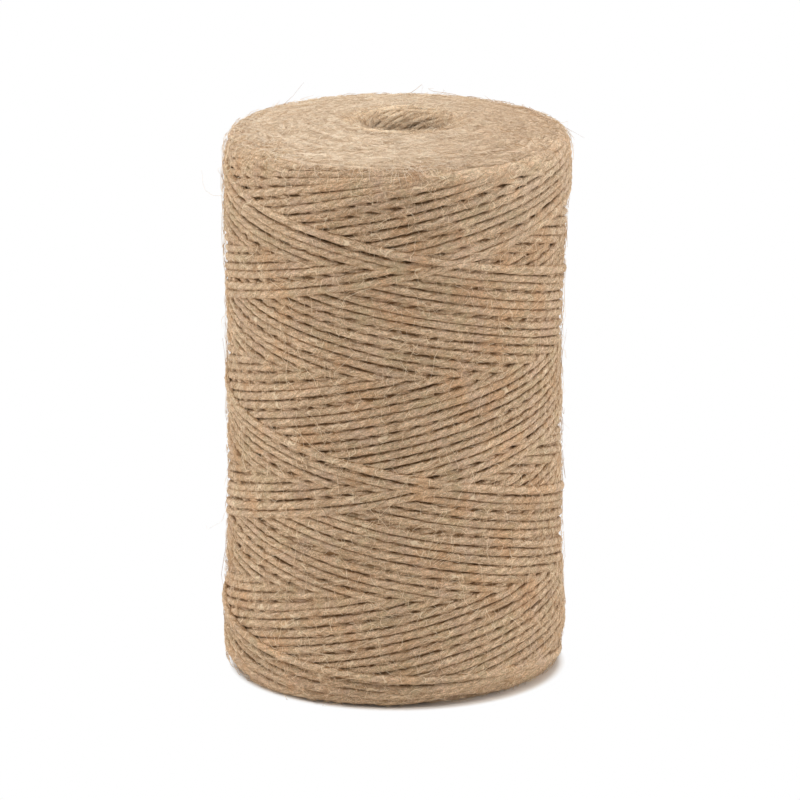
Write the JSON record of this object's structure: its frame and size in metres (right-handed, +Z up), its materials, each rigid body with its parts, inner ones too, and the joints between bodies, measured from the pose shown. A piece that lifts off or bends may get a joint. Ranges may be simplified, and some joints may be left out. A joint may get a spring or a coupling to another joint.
{
  "type": "roll of jute twine",
  "caption": "Upright cross-wound roll of rough jute twine with a domed top, rounded edges and an open centre hole.",
  "frame": {"origin": "centre of the flat foot that the roll stands on", "axes": "+Z up along the hole, the front faces -Y and +X is to its right"},
  "size_m": [0.0999, 0.0995, 0.1616],
  "materials": {
    "jute_twine": "rough undyed jute, pale brown, with loose fibres"
  },
  "bodies": {
    "root": {"twine_roll": "jute_twine"}
  },
  "joints": []
}
